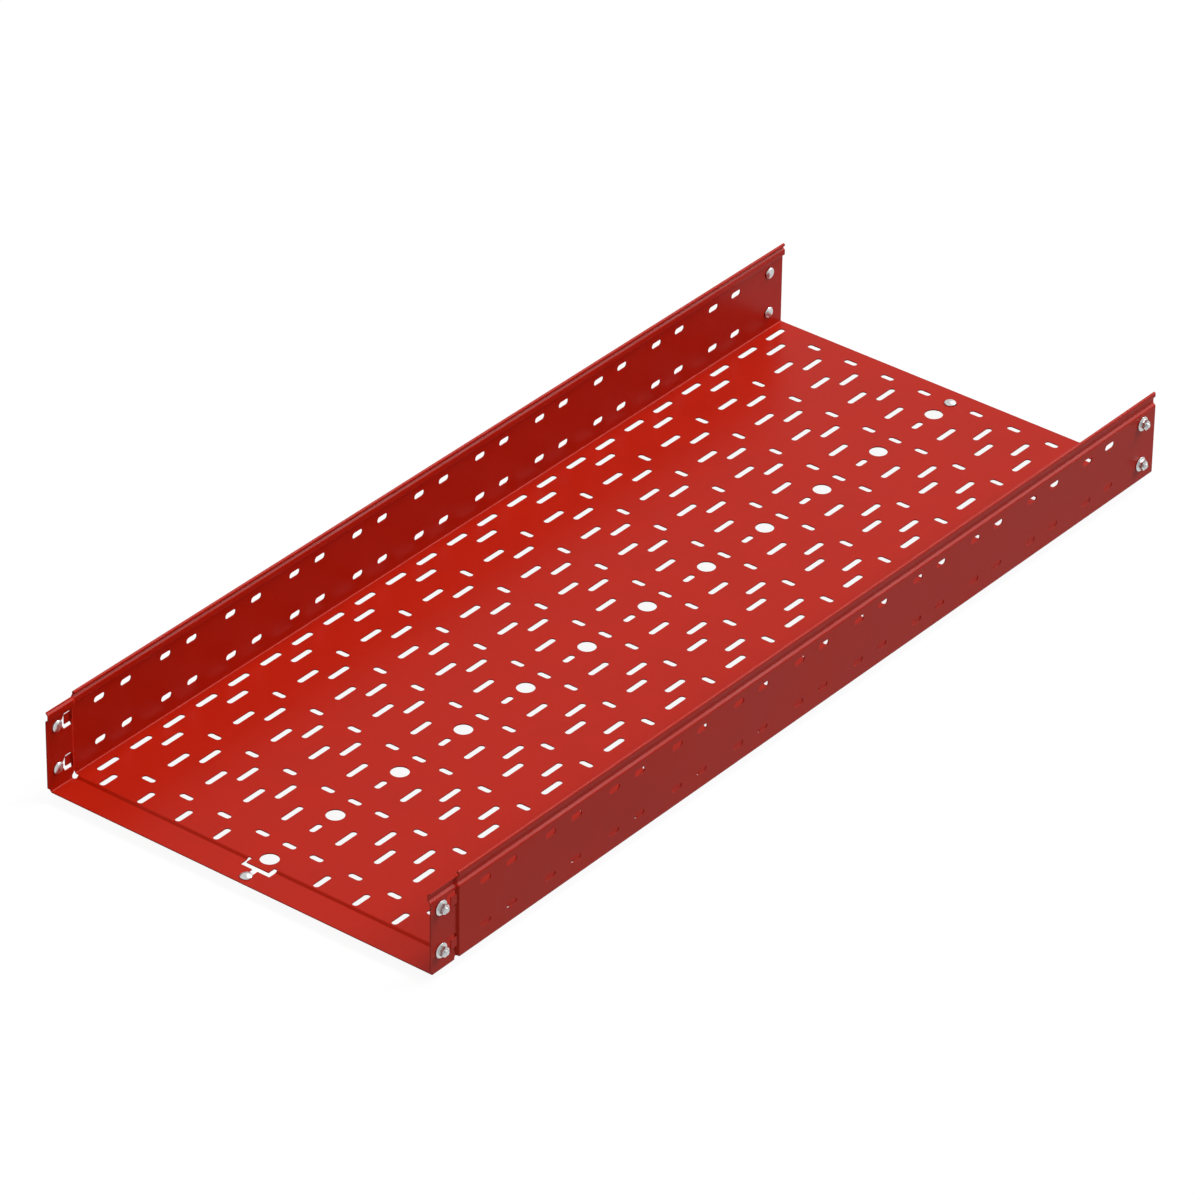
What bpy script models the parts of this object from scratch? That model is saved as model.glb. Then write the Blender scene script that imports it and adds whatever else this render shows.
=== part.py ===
"""Perforated cable tray: one section, with the bolts and nuts of its two joints.

Lengths are in metres. X runs along the tray to its plain end, Y runs across it and Z is up.
The origin is on the underside of the base, midway between the two ends of the walls.

The tray is one sheet. It is drawn flat with every hole in it, and then folded. A point of the
flat sheet is (x, u): u is the distance from the centreline, measured along the sheet's middle.
At its coupling end the sheet is joggled by its thickness and a clearance, inwards at the walls
and downwards at the base, to fit into a plain end like its other one.
"""

import math

import bpy
from mathutils import Vector
from mathutils.geometry import delaunay_2d_cdt

# Tray, overall
LENGTH = 1.204
WIDTH = 0.500
HEIGHT = 0.100
SHEET = 0.0012
BEND_RADIUS = 0.0015

# Rolled rim, heights measured down from the top
RIM_BEND_DROP = 0.016
LEDGE_WIDTH = 0.003
LEDGE_RISE = 0.0026
WEB_HEIGHT = 0.0057
LIP_SET_OUT = 0.0023
LIP_RISE = 0.0023
HEM_RADIUS = 0.0005
HEM_LEG_DROP = 0.0027

# Coupling end
COUPLING_LENGTH = 0.037
RAMP_LENGTH = 0.0045
JOGGLE_CLEARANCE = 0.0007
BASE_SETBACK = 0.004
COUPLING_RIM_DROP = 0.0045
RELIEF_LENGTH = 0.007
RELIEF_MARGIN = 0.0022
RELIEF_CORNER = 0.0015

# Slots and round holes
SLOT_WIDTH = 0.007
LONG_SLOT = 0.030
SHORT_SLOT = 0.016
ROUND_HOLE = 0.020

# Hole pattern, x measured from the first round hole
FIRST_HOLE = 0.051
PITCH_X = 0.100
PITCH_Y = 0.050
END_MARGIN = 0.010
EDGE_ROW_FROM_WALL = 0.015
EDGE_ROW_START = 0.025
ROW_SPACING_LEAST = 0.018
INLINE_ROW_Y = 0.065
STAGGERED_ROW_Y = 0.035
STAGGERED_LONG_X = 0.075
CROSS_SLOT_X = 0.030
CENTRE_SLOT_X = 0.070
FIRST_INLINE_START = -0.0085
LOWER_WALL_ROW_Z = 0.022
UPPER_WALL_ROW_DROP = 0.028

# Fork-shaped cut-outs of the coupling end, x measured from the end of the walls
BOLT_X = 0.0156
WALL_STEM_EXTRA = 0.0011
WALL_FLARE_X = 0.023
WALL_FLARE_LENGTH = 0.003
WALL_TAB_X = 0.0285
WALL_TAB_WIDTH = 0.0109
WALL_PRONG_WIDTH = 0.0037
BASE_BAR_X = 0.0285
BASE_BAR_LENGTH = 0.004
BASE_TAB_WIDTH = 0.0286
BASE_PRONG_WIDTH = 0.0044

# Bolts and nuts
FIT_GAP = 0.0003
THREAD = 0.006
BOLT_LENGTH = 0.010
BOLT_TIP = 0.0005
HEAD_WIDTH = 0.0135
HEAD_HEIGHT = 0.0033
HEAD_EDGE = 0.0006
DOME_SHOULDER = (0.75, 0.70)
DOME_TOP_SHARE = 0.30
NUT_FLATS = 0.010
NUT_HEIGHT = 0.006
NUT_CHAMFER = 0.0004
FLANGE_WIDTH = 0.0165
FLANGE_EDGE = 0.0008
FLANGE_CONE = 0.0008

# Facets
BEND_STEPS = 3
HEM_STEPS = 4
LONG_SLOT_END_POINTS = 3
SHORT_SLOT_END_POINTS = 2
STEM_END_POINTS = 4
ROUND_HOLE_POINTS = 10
BOLT_POINTS = 10
NUT_POINTS = 12
FLAT_END = 0.0015
FLAT_LEAST = 0.010
SAME_POINT = 1e-6

# Places that follow from the sizes
WALL_END = -LENGTH / 2
PLAIN_END = LENGTH / 2
BASE_END = WALL_END + BASE_SETBACK
RAMP_FOOT = WALL_END + COUPLING_LENGTH
RAMP_TOP = RAMP_FOOT + RAMP_LENGTH
FIRST_X = WALL_END + FIRST_HOLE
LAST_X = PLAIN_END - END_MARGIN
JOGGLE = SHEET + JOGGLE_CLEARANCE
HALF_SHEET = SHEET / 2
WALL_Y = WIDTH / 2 - HALF_SHEET
EDGE_ROW_Y = WIDTH / 2 - EDGE_ROW_FROM_WALL
NEAR_BOLT_X = WALL_END + BOLT_X
INNER = 1
OUTER = -1


# Folded section

def arc_points(centre_y, centre_z, radius, start, stop, steps):
    """Points on an arc in the section, both ends included. Angles in degrees."""
    points = []
    for step in range(steps + 1):
        angle = math.radians(start + (stop - start) * step / steps)
        points.append((centre_y + radius * math.cos(angle), centre_z + radius * math.sin(angle)))
    return points


def half_section(wall_y, base_z):
    """Corners of the sheet's middle line, from the centreline out and up to the rim's edge."""
    corner = BEND_RADIUS + HALF_SHEET
    hem = HEM_RADIUS + HALF_SHEET
    hem_z = HEIGHT - HALF_SHEET - hem
    rim_z = HEIGHT - RIM_BEND_DROP
    web_y = wall_y - LEDGE_WIDTH
    web_z = rim_z + LEDGE_RISE
    lip_y = web_y + LIP_SET_OUT
    points = [(0.0, base_z)]
    points += arc_points(wall_y - corner, base_z + corner, corner, -90, 0, BEND_STEPS)
    points.append((wall_y, rim_z))
    points.append((web_y, web_z))
    points.append((web_y, web_z + WEB_HEIGHT))
    points.append((lip_y, web_z + WEB_HEIGHT + LIP_RISE))
    points += arc_points(lip_y - hem, hem_z, hem, 0, 180, HEM_STEPS)
    points.append((lip_y - 2 * hem, HEIGHT - HEM_LEG_DROP))
    return points


def distances(points):
    """How far along the line each of its points is."""
    along = [0.0]
    for before, after in zip(points, points[1:]):
        along.append(along[-1] + math.dist(before, after))
    return along


def with_flat_ends(points):
    """Adds a point a little before and after each bend, so that a hole in a flat keeps its shape."""
    result = [points[0]]
    for before, after in zip(points, points[1:]):
        length = math.dist(before, after)
        if length > FLAT_LEAST:
            for share in (FLAT_END / length, 1 - FLAT_END / length):
                result.append(tuple(a + (b - a) * share for a, b in zip(before, after)))
        result.append(after)
    return result


def face_line(points, side):
    """The line (u, y, z) of one face of the sheet: the middle line moved by half a thickness."""
    along = distances(points)
    normals = []
    for before, after in zip(points, points[1:]):
        length = math.dist(before, after)
        normals.append(((before[1] - after[1]) / length, (after[0] - before[0]) / length))
    line = []
    for index, (y, z) in enumerate(points):
        n0 = normals[max(index - 1, 0)]
        n1 = normals[min(index, len(normals) - 1)]
        scale = side * HALF_SHEET / (1 + n0[0] * n1[0] + n0[1] * n1[1])
        line.append((along[index], y + (n0[0] + n1[0]) * scale, z + (n0[1] + n1[1]) * scale))
    return line


def on_line(line, u):
    """(y, z) on a face line at the distance u."""
    for (u0, y0, z0), (u1, y1, z1) in zip(line, line[1:]):
        if u <= u1 + SAME_POINT:
            share = min(max((u - u0) / (u1 - u0), 0.0), 1.0)
            return y0 + (y1 - y0) * share, z0 + (z1 - z0) * share
    return line[-1][1:]


MAIN_SECTION = half_section(WALL_Y, HALF_SHEET)
COUPLING_SECTION = half_section(WALL_Y - JOGGLE, HALF_SHEET - JOGGLE)
MAIN_U = distances(MAIN_SECTION)
COUPLING_U = distances(COUPLING_SECTION)
MAIN_FACES = {side: face_line(with_flat_ends(MAIN_SECTION), side) for side in (INNER, OUTER)}
COUPLING_FACES = {side: face_line(with_flat_ends(COUPLING_SECTION), side) for side in (INNER, OUTER)}

# Numbers of the section's corners
CORNER_END = 1 + BEND_STEPS
RIM_BEND = CORNER_END + 1
LIP_FOOT = RIM_BEND + 3

COUPLING_RIM_U = MAIN_U[LIP_FOOT] + (HEIGHT - COUPLING_RIM_DROP - MAIN_SECTION[LIP_FOOT][1])
WALL_U_FROM_Z = MAIN_U[CORNER_END] - MAIN_SECTION[CORNER_END][1]
WALL_ROWS_U = [WALL_U_FROM_Z + z for z in (LOWER_WALL_ROW_Z, HEIGHT - UPPER_WALL_ROW_DROP)]


def copies(first, last, pitch):
    """Places from first to last, a pitch apart."""
    count = int(math.floor((last - first) / pitch + SAME_POINT)) + 1
    return [first + index * pitch for index in range(max(count, 0))]


# Hole outlines in the flat sheet

def slot(x, u, length, along_x, end_points):
    """A round-ended slot as a polygon with the slot's own width and area."""
    half_width = SLOT_WIDTH / 2
    half_length = length / 2
    area_end = half_length - SLOT_WIDTH * (1 - math.pi / 4) / 2
    if end_points == 2:
        right = [(area_end, -half_width), (area_end, half_width)]
    else:
        shoulder = 2 * area_end - half_length
        right = [(shoulder, -half_width), (half_length, 0.0), (shoulder, half_width)]
    outline = right + [(-a, -b) for a, b in right]
    if along_x:
        return [(x + a, u + b) for a, b in outline]
    return [(x - b, u + a) for a, b in outline]


def round_hole(x, u):
    """A polygon with the same area as the round hole."""
    turn = 2 * math.pi / ROUND_HOLE_POINTS
    radius = ROUND_HOLE / 2 * math.sqrt(turn / math.sin(turn))
    return [
        (x + radius * math.cos(turn * (k + 0.5)), u + radius * math.sin(turn * (k + 0.5)))
        for k in range(ROUND_HOLE_POINTS)
    ]


def stem_end(x, u):
    """The round end of a fork's stem, from its upper side to its lower side."""
    points = []
    for step in range(STEM_END_POINTS + 1):
        angle = math.pi / 2 + math.pi * step / STEM_END_POINTS
        points.append((x + SLOT_WIDTH / 2 * math.cos(angle), u + SLOT_WIDTH / 2 * math.sin(angle)))
    return points


def wall_fork(u):
    """The Y-shaped cut-out round a wall bolt. The tab between its prongs stays in the main wall."""
    flare = WALL_END + WALL_FLARE_X
    tab = WALL_TAB_WIDTH / 2
    prong = tab + WALL_PRONG_WIDTH
    upper = [
        (RAMP_FOOT, tab),
        (RAMP_FOOT, prong),
        (flare + WALL_FLARE_LENGTH, prong),
        (flare, SLOT_WIDTH / 2),
    ]
    tab_end = WALL_END + WALL_TAB_X
    outline = [(x, u + b) for x, b in [(tab_end, tab)] + upper]
    outline += stem_end(NEAR_BOLT_X - WALL_STEM_EXTRA, u)
    outline += [(x, u - b) for x, b in upper[::-1] + [(tab_end, tab)]]
    return outline


def base_fork():
    """The fork round the base bolt. The tab between its prongs stays in the main base."""
    bar = WALL_END + BASE_BAR_X
    tab = BASE_TAB_WIDTH / 2
    prong = tab + BASE_PRONG_WIDTH
    upper = [(RAMP_TOP, tab), (RAMP_TOP, prong), (bar, prong), (bar, SLOT_WIDTH / 2)]
    tab_end = bar + BASE_BAR_LENGTH
    outline = [(tab_end, tab)] + upper
    outline += stem_end(NEAR_BOLT_X, 0.0)
    outline += [(x, -b) for x, b in upper[::-1] + [(tab_end, tab)]]
    return outline


def relief(sign):
    """The notch across the bottom bend, where the joggle crosses it."""
    middle = (RAMP_FOOT + RAMP_TOP) / 2
    x0 = middle - RELIEF_LENGTH / 2
    x1 = middle + RELIEF_LENGTH / 2
    u0 = COUPLING_U[1] - RELIEF_MARGIN
    u1 = MAIN_U[CORNER_END] + RELIEF_MARGIN
    cut = RELIEF_CORNER
    points = [
        (x0 + cut, u0),
        (x1 - cut, u0),
        (x1, u0 + cut),
        (x1, u1 - cut),
        (x1 - cut, u1),
        (x0 + cut, u1),
        (x0, u1 - cut),
        (x0, u0 + cut),
    ]
    return [(x, sign * u) for x, u in points]


def hole_outlines():
    """Every hole of the sheet."""
    holes = [base_fork(), relief(1), relief(-1)]
    half_long = LONG_SLOT / 2
    half_short = SHORT_SLOT / 2
    half_width = SLOT_WIDTH / 2
    last_row = EDGE_ROW_Y - ROW_SPACING_LEAST

    inline_rows = copies(INLINE_ROW_Y, last_row, PITCH_Y)
    staggered_rows = copies(STAGGERED_ROW_Y, last_row, PITCH_Y)
    edge_x = copies(FIRST_X + EDGE_ROW_START, LAST_X - half_long, PITCH_X / 2)
    inline_x = copies(FIRST_X, LAST_X - half_long, PITCH_X)
    staggered_x = copies(FIRST_X + STAGGERED_LONG_X, LAST_X - half_long, PITCH_X)
    cross_x = copies(FIRST_X + CROSS_SLOT_X, LAST_X - half_width, PITCH_X)
    centre_x = copies(FIRST_X + CENTRE_SLOT_X, LAST_X - half_short, PITCH_X)
    wall_x = copies(FIRST_X + CROSS_SLOT_X, LAST_X - half_short, PITCH_X)

    for sign in (1, -1):
        for x in edge_x:
            holes.append(slot(x, sign * EDGE_ROW_Y, LONG_SLOT, True, LONG_SLOT_END_POINTS))
        for row in inline_rows:
            first_start = FIRST_X + FIRST_INLINE_START
            first_length = inline_x[0] + half_long - first_start
            first_x = first_start + first_length / 2
            holes.append(slot(first_x, sign * row, first_length, True, LONG_SLOT_END_POINTS))
            for x in inline_x[1:]:
                holes.append(slot(x, sign * row, LONG_SLOT, True, LONG_SLOT_END_POINTS))
        for row in staggered_rows:
            for x in staggered_x:
                holes.append(slot(x, sign * row, LONG_SLOT, True, LONG_SLOT_END_POINTS))
            for x in cross_x:
                holes.append(slot(x, sign * row, SHORT_SLOT, False, SHORT_SLOT_END_POINTS))
        for row in WALL_ROWS_U:
            holes.append(wall_fork(sign * row))
            for x in wall_x + centre_x:
                holes.append(slot(x, sign * row, SHORT_SLOT, True, SHORT_SLOT_END_POINTS))

    for x in inline_x:
        holes.append(round_hole(x, 0.0))
    for x in cross_x:
        holes.append(slot(x, 0.0, SHORT_SLOT, False, SHORT_SLOT_END_POINTS))
    for x in centre_x:
        holes.append(slot(x, 0.0, SHORT_SLOT, True, SHORT_SLOT_END_POINTS))
    return holes


# Outline of the flat sheet and its fold lines

def sheet_outline():
    """The outline of the flat sheet. It has a point wherever a bend meets an end."""
    corner_cut = COUPLING_U[CORNER_END] + BASE_SETBACK
    near = [(BASE_END, u) for u in COUPLING_U[1:CORNER_END + 1]]
    near.append((WALL_END, corner_cut))
    near += [(WALL_END, u) for u in COUPLING_U[RIM_BEND:LIP_FOOT + 1]]
    near += [(WALL_END, COUPLING_RIM_U), (RAMP_TOP, COUPLING_RIM_U)]
    near += [(RAMP_TOP, u) for u in MAIN_U[LIP_FOOT + 1:]]
    far = [(PLAIN_END, u) for u in MAIN_U[:0:-1]]
    upper = near + far
    lower = [(x, -u) for x, u in upper[::-1]]
    return upper + lower


def fold_lines():
    """Straight lines that the triangles must not cross."""
    lines = []
    middle = (RAMP_FOOT + RAMP_TOP) / 2
    tab = BASE_TAB_WIDTH / 2
    half_fork = WALL_TAB_WIDTH / 2 + WALL_PRONG_WIDTH
    for sign in (1, -1):
        for u in COUPLING_U[1:CORNER_END + 1]:
            lines.append(((BASE_END, sign * u), (middle, sign * u)))
        for u in MAIN_U[1:CORNER_END + 1]:
            lines.append(((middle, sign * u), (PLAIN_END, sign * u)))
        for u in MAIN_U[RIM_BEND:LIP_FOOT + 1]:
            lines.append(((WALL_END, sign * u), (PLAIN_END, sign * u)))
        for u in MAIN_U[LIP_FOOT + 1:-1]:
            lines.append(((RAMP_TOP, sign * u), (PLAIN_END, sign * u)))
        lines.append(((RAMP_TOP, sign * (tab + BASE_PRONG_WIDTH)), (RAMP_TOP, sign * COUPLING_RIM_U)))
        foot = tab + BASE_PRONG_WIDTH
        for row in WALL_ROWS_U:
            lines.append(((RAMP_FOOT, sign * foot), (RAMP_FOOT, sign * (row - half_fork))))
            foot = row + half_fork
        lines.append(((RAMP_FOOT, sign * foot), (RAMP_FOOT, sign * COUPLING_RIM_U)))
    return lines


def coupling_share(x, u):
    """1 where the sheet is joggled, 0 where it isn't and on the tabs, and between them on the ramp."""
    if u <= BASE_TAB_WIDTH / 2 + SAME_POINT and x > WALL_END + BASE_BAR_X + SAME_POINT:
        return 0.0
    for row in WALL_ROWS_U:
        if abs(u - row) <= WALL_TAB_WIDTH / 2 + SAME_POINT and x > WALL_END + WALL_TAB_X - SAME_POINT:
            return 0.0
    return min(max((RAMP_TOP - x) / RAMP_LENGTH, 0.0), 1.0)


def folded(x, u, side):
    """The place in the folded tray of a point of the flat sheet, on its inner or outer face."""
    share = coupling_share(x, abs(u))
    main_y, main_z = on_line(MAIN_FACES[side], abs(u))
    coupling_y, coupling_z = on_line(COUPLING_FACES[side], abs(u))
    y = main_y + (coupling_y - main_y) * share
    z = main_z + (coupling_z - main_z) * share
    return x, math.copysign(y, u), z


def counterclockwise(loop):
    """The loop, turned round if it runs clockwise."""
    area = sum(x0 * u1 - x1 * u0 for (x0, u0), (x1, u1) in zip(loop, loop[1:] + loop[:1]))
    return loop if area > 0 else loop[::-1]


def flat_triangles():
    """Points and counterclockwise triangles of the flat sheet."""
    loops = [counterclockwise(loop) for loop in [sheet_outline()] + hole_outlines()]
    points = []
    faces = []
    for loop in loops:
        faces.append(list(range(len(points), len(points) + len(loop))))
        points += loop
    edges = []
    for start, end in fold_lines():
        edges.append((len(points), len(points) + 1))
        points += [start, end]
    result = delaunay_2d_cdt([Vector(p) for p in points], edges, faces, 1, SAME_POINT)
    made, _, triangles, sources, _, owners = result
    exact = []
    for index, place in enumerate(made):
        exact.append(points[sources[index][0]] if sources[index] else tuple(place))
    kept = []
    for triangle, owner in zip(triangles, owners):
        if set(owner) != {0}:
            continue
        (x0, u0), (x1, u1), (x2, u2) = (exact[i] for i in triangle)
        turn = (x1 - x0) * (u2 - u0) - (x2 - x0) * (u1 - u0)
        kept.append(tuple(triangle) if turn > 0 else tuple(triangle)[::-1])
    return exact, kept


def tray_mesh():
    """Points and faces of the folded sheet, with its thickness."""
    flat, triangles = flat_triangles()
    used = sorted({index for triangle in triangles for index in triangle})
    number = {index: place for place, index in enumerate(used)}
    count = len(used)
    points = [folded(*flat[index], INNER) for index in used]
    points += [folded(*flat[index], OUTER) for index in used]
    faces = []
    edges = set()
    for triangle in triangles:
        a, b, c = (number[index] for index in triangle)
        faces.append((a, b, c))
        faces.append((c + count, b + count, a + count))
        edges.update([(a, b), (b, c), (c, a)])
    for a, b in edges:
        if (b, a) not in edges:
            faces.append((b, a, a + count, b + count))
    return points, faces


# Bolts and nuts

def ring(radius, height, sides):
    turn = 2 * math.pi / sides
    return [(radius * math.cos(turn * k), radius * math.sin(turn * k), height) for k in range(sides)]


def hexagon_ring(flats, height):
    """A hexagon with a point in the middle of each side."""
    points = []
    for k in range(NUT_POINTS):
        angle = 2 * math.pi * k / NUT_POINTS
        radius = flats / 2 if k % 2 else flats / 2 / math.cos(math.pi / 6)
        points.append((radius * math.cos(angle), radius * math.sin(angle), height))
    return points


def skin(rings, capped):
    """Faces round a stack of rings. Its ends are capped, or else its last ring joins its first."""
    sides = len(rings[0])
    points = [point for one in rings for point in one]
    faces = []
    gaps = len(rings) - 1 if capped else len(rings)
    for level in range(gaps):
        low = level * sides
        high = (level + 1) % len(rings) * sides
        for k in range(sides):
            after = (k + 1) % sides
            faces.append((low + k, low + after, high + after, high + k))
    if capped:
        faces.append(tuple(range(sides))[::-1])
        faces.append(tuple(range(len(points) - sides, len(points))))
    return points, faces


def bolt_mesh():
    """A domed head above z = 0 and a plain shank below it."""
    head = HEAD_WIDTH / 2
    shank = THREAD / 2
    dome = HEAD_HEIGHT - HEAD_EDGE
    rings = [
        ring(shank - BOLT_TIP, -BOLT_LENGTH, BOLT_POINTS),
        ring(shank, -BOLT_LENGTH + BOLT_TIP, BOLT_POINTS),
        ring(shank, 0.0, BOLT_POINTS),
        ring(head, 0.0, BOLT_POINTS),
        ring(head, HEAD_EDGE, BOLT_POINTS),
        ring(head * DOME_SHOULDER[0], HEAD_EDGE + dome * DOME_SHOULDER[1], BOLT_POINTS),
        ring(head * DOME_TOP_SHARE, HEAD_HEIGHT, BOLT_POINTS),
    ]
    return skin(rings, True)


def nut_mesh():
    """A hexagon nut with a round flange, standing on z = 0."""
    bore = THREAD / 2 + FIT_GAP
    flange = FLANGE_WIDTH / 2
    cone_top = FLANGE_EDGE + FLANGE_CONE
    rings = [
        ring(bore, 0.0, NUT_POINTS),
        ring(flange, 0.0, NUT_POINTS),
        ring(flange, FLANGE_EDGE, NUT_POINTS),
        hexagon_ring(NUT_FLATS, cone_top),
        hexagon_ring(NUT_FLATS, NUT_HEIGHT - NUT_CHAMFER),
        ring(NUT_FLATS / 2, NUT_HEIGHT, NUT_POINTS),
        ring(bore, NUT_HEIGHT, NUT_POINTS),
    ]
    return skin(rings, False)


def placed(mesh, origin, up):
    """The mesh moved to its origin, with its z axis along up. Up is along Y or Z."""
    points, faces = mesh
    moved = []
    for x, y, z in points:
        if up[2]:
            place = (x, y * up[2], z * up[2])
        else:
            place = (x, z * up[1], -y * up[1])
        moved.append(tuple(a + b for a, b in zip(place, origin)))
    return moved, faces


def joint_sets():
    """(name, point on the sheet's middle, direction into the tray) of each bolt."""
    far_bolts = copies(FIRST_X + CROSS_SLOT_X, LAST_X - SHORT_SLOT / 2, PITCH_X)
    ends = [("near", NEAR_BOLT_X, JOGGLE), ("far", far_bolts[-1], 0.0)]
    sets = []
    for end, x, shift in ends:
        sets.append((end + "_base", (x, 0.0, HALF_SHEET - shift), (0, 0, 1)))
        for side, sign in (("left", 1), ("right", -1)):
            for row, u in enumerate(WALL_ROWS_U, start=1):
                y = sign * (WALL_Y - shift)
                name = f"{end}_{side}_{row}"
                sets.append((name, (x, y, u - WALL_U_FROM_Z), (0, -sign, 0)))
    return sets


# Objects

def paint(name, colour, metallic, roughness):
    material = bpy.data.materials.new(name)
    material.use_nodes = True
    shader = material.node_tree.nodes["Principled BSDF"]
    shader.inputs["Base Color"].default_value = (*colour, 1.0)
    shader.inputs["Metallic"].default_value = metallic
    shader.inputs["Roughness"].default_value = roughness
    material.diffuse_color = (*colour, 1.0)
    return material


def add_object(name, mesh, material):
    data = bpy.data.meshes.new(name)
    data.from_pydata(mesh[0], [], mesh[1])
    data.materials.append(material)
    data.update()
    bpy.context.scene.collection.objects.link(bpy.data.objects.new(name, data))


for old in list(bpy.data.objects):
    bpy.data.objects.remove(old, do_unlink=True)

red_paint = paint("red_paint", (0.480, 0.022, 0.016), 0.0, 0.38)
zinc = paint("zinc", (0.560, 0.570, 0.580), 1.0, 0.35)

add_object("tray", tray_mesh(), red_paint)
for label, middle, inward in joint_sets():
    stand_off = HALF_SHEET + FIT_GAP
    head_seat = tuple(m + n * stand_off for m, n in zip(middle, inward))
    nut_seat = tuple(m - n * stand_off for m, n in zip(middle, inward))
    outward = tuple(-n for n in inward)
    add_object("bolt_" + label, placed(bolt_mesh(), head_seat, inward), zinc)
    add_object("nut_" + label, placed(nut_mesh(), nut_seat, outward), zinc)
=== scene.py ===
"""Looks of the perforated cable tray: the folded sheet with round-ended holes and smooth bends,
its domed bolts and flange nuts, a red semi-gloss paint, bright zinc, and a plain white studio.

Lengths are in metres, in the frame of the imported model: X along the tray to its plain end,
Y across it, Z up, with the origin on the underside of the base.
"""

import math

import bpy
from mathutils import Matrix, Vector
from mathutils.geometry import delaunay_2d_cdt


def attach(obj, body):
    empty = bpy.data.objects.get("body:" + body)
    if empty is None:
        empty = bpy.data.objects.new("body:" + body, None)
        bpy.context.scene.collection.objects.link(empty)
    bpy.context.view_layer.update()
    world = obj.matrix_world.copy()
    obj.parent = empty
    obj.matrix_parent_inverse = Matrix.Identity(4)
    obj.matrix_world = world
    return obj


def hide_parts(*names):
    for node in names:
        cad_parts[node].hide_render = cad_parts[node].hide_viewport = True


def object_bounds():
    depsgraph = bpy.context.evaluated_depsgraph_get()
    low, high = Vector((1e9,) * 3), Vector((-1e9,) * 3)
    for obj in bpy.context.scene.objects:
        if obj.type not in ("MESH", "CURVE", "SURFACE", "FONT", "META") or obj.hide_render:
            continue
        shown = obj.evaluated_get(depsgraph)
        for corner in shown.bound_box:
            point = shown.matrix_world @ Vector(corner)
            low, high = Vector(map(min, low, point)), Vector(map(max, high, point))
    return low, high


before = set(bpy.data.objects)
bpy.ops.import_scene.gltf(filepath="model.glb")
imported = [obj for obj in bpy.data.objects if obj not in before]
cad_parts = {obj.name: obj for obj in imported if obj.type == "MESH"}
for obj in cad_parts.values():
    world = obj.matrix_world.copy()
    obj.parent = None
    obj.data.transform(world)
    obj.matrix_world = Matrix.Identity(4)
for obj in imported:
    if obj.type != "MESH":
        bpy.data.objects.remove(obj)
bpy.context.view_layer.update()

# Sizes of the tray, the same as in the part's own source

LENGTH = 1.204
WIDTH = 0.500
HEIGHT = 0.100
SHEET = 0.0012
BEND_RADIUS = 0.0015

RIM_BEND_DROP = 0.016
LEDGE_WIDTH = 0.003
LEDGE_RISE = 0.0026
WEB_HEIGHT = 0.0057
LIP_SET_OUT = 0.0023
LIP_RISE = 0.0023
HEM_RADIUS = 0.0005
HEM_LEG_DROP = 0.0027

COUPLING_LENGTH = 0.037
RAMP_LENGTH = 0.0045
JOGGLE_CLEARANCE = 0.0007
BASE_SETBACK = 0.004
COUPLING_RIM_DROP = 0.0045
RELIEF_LENGTH = 0.007
RELIEF_MARGIN = 0.0022

SLOT_WIDTH = 0.007
LONG_SLOT = 0.030
SHORT_SLOT = 0.016
ROUND_HOLE = 0.020

FIRST_HOLE = 0.051
PITCH_X = 0.100
PITCH_Y = 0.050
END_MARGIN = 0.010
EDGE_ROW_FROM_WALL = 0.015
EDGE_ROW_START = 0.025
ROW_SPACING_LEAST = 0.018
INLINE_ROW_Y = 0.065
STAGGERED_ROW_Y = 0.035
STAGGERED_LONG_X = 0.075
CROSS_SLOT_X = 0.030
CENTRE_SLOT_X = 0.070
FIRST_INLINE_START = -0.0085
LOWER_WALL_ROW_Z = 0.022
UPPER_WALL_ROW_DROP = 0.028

BOLT_X = 0.0156
WALL_STEM_EXTRA = 0.0011
WALL_FLARE_X = 0.023
WALL_FLARE_LENGTH = 0.003
WALL_TAB_X = 0.0285
WALL_TAB_WIDTH = 0.0109
WALL_PRONG_WIDTH = 0.0037
BASE_BAR_X = 0.0285
BASE_BAR_LENGTH = 0.004
BASE_TAB_WIDTH = 0.0286
BASE_PRONG_WIDTH = 0.0044

FIT_GAP = 0.0003
THREAD = 0.006
THREAD_PITCH = 0.001
THREAD_DEPTH = 0.00055
BOLT_LENGTH = 0.010
HEAD_WIDTH = 0.0135
HEAD_HEIGHT = 0.0033
HEAD_EDGE = 0.0006
NUT_FLATS = 0.010
NUT_HEIGHT = 0.006
NUT_CHAMFER_ANGLE = math.radians(30)
FLANGE_WIDTH = 0.0165
FLANGE_EDGE = 0.0008
FLANGE_CONE = 0.0008

# Fine detail of bolts and nuts, which the solids don't have

HEAD_BEVEL = 0.0002
PLAIN_SHANK_SHARE = 0.9
FLANGE_BEVEL = 0.0002
BORE_BEVEL = 0.0004
BORE_PLAY = 0.00005
NUT_FACE_SHARE = 0.97
BOLT_SHARP_ANGLE = 40
NUT_SHARP_ANGLE = 30

# The thread's groove is a V, cut off flat at a share of 1 of its depth

GROOVE_PEAK = 1.25
GROOVE_SLOPE = 2.5

# Turn from each bolt to the next, in radians, and how many times as far its nut is turned

BOLT_TURN = 0.7
NUT_TURN_FACTOR = 1.7

# Finer facets than the solids have

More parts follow.
